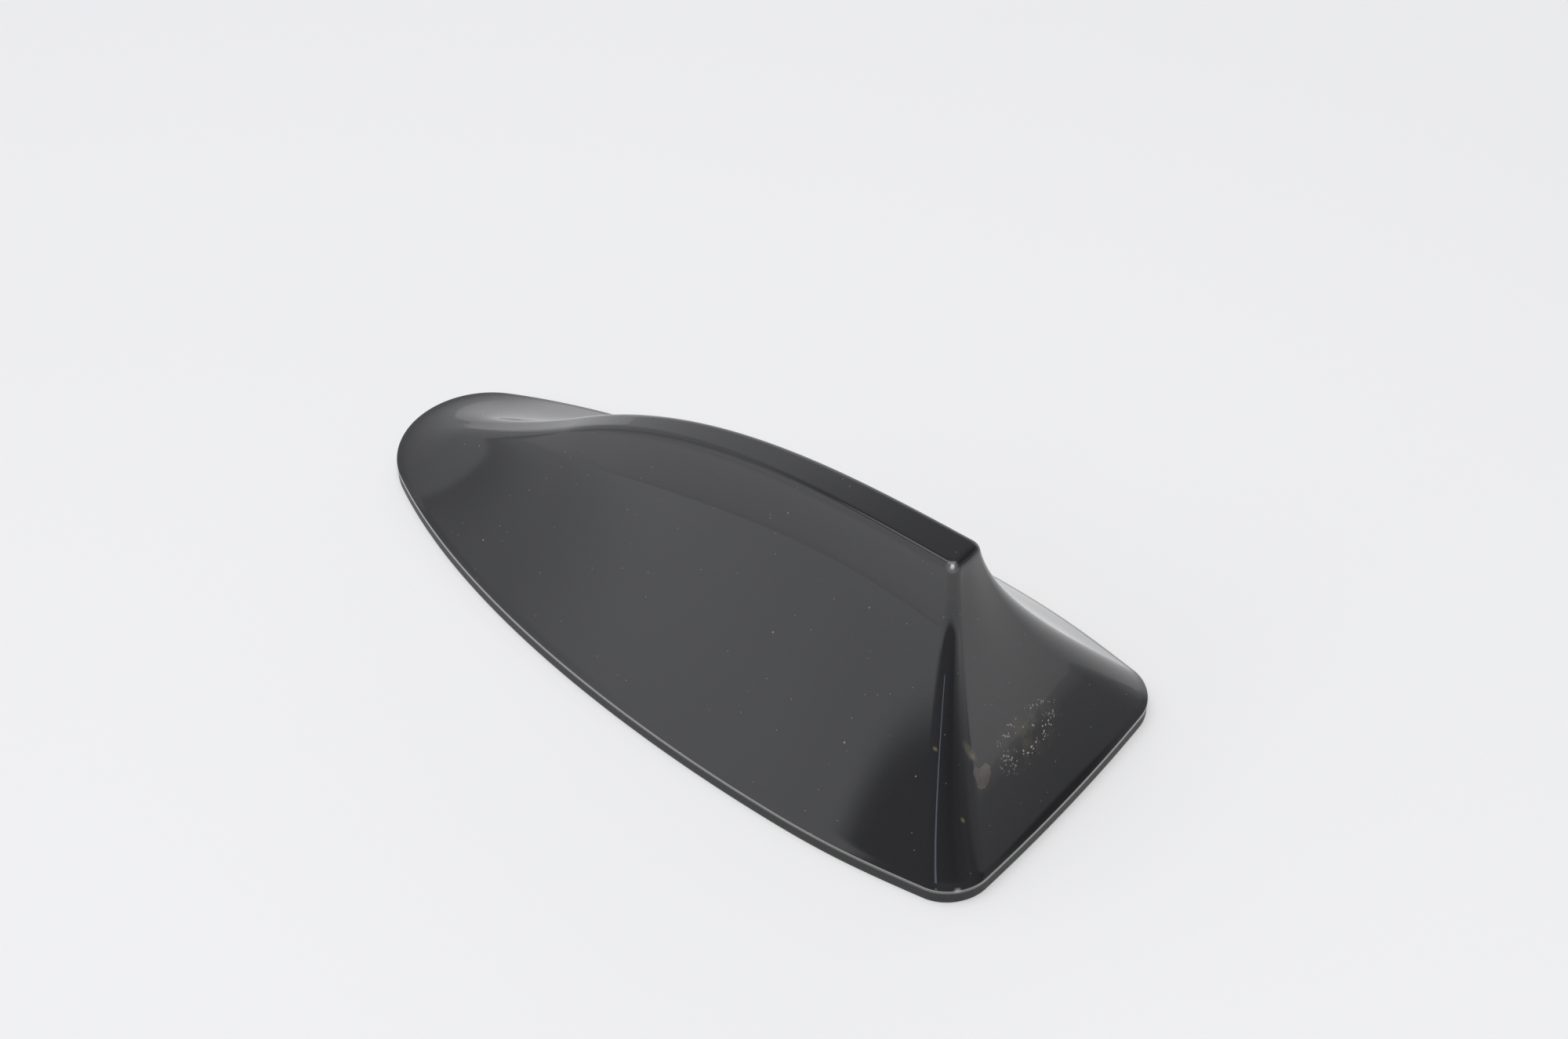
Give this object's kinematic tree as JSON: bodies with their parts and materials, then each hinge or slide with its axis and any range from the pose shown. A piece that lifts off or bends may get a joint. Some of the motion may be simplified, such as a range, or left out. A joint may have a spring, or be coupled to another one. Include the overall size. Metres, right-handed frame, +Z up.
{
  "type": "antenna cover",
  "caption": "Fin-shaped roof antenna cover: a thin glossy dark grey shell, open underneath, with a flat rim, round nose, narrow flat ridge and steep hollow-curved tail face.",
  "frame": {"origin": "middle of the outline, on the plane of the rim", "axes": "+X to the nose, +Y to the left flank, +Z up"},
  "size_m": [0.156, 0.0704, 0.048],
  "materials": {
    "gloss_paint": "gloss clear coat over dark grey metallic paint"
  },
  "bodies": {
    "root": {"antenna_cover": "gloss_paint"}
  },
  "joints": []
}
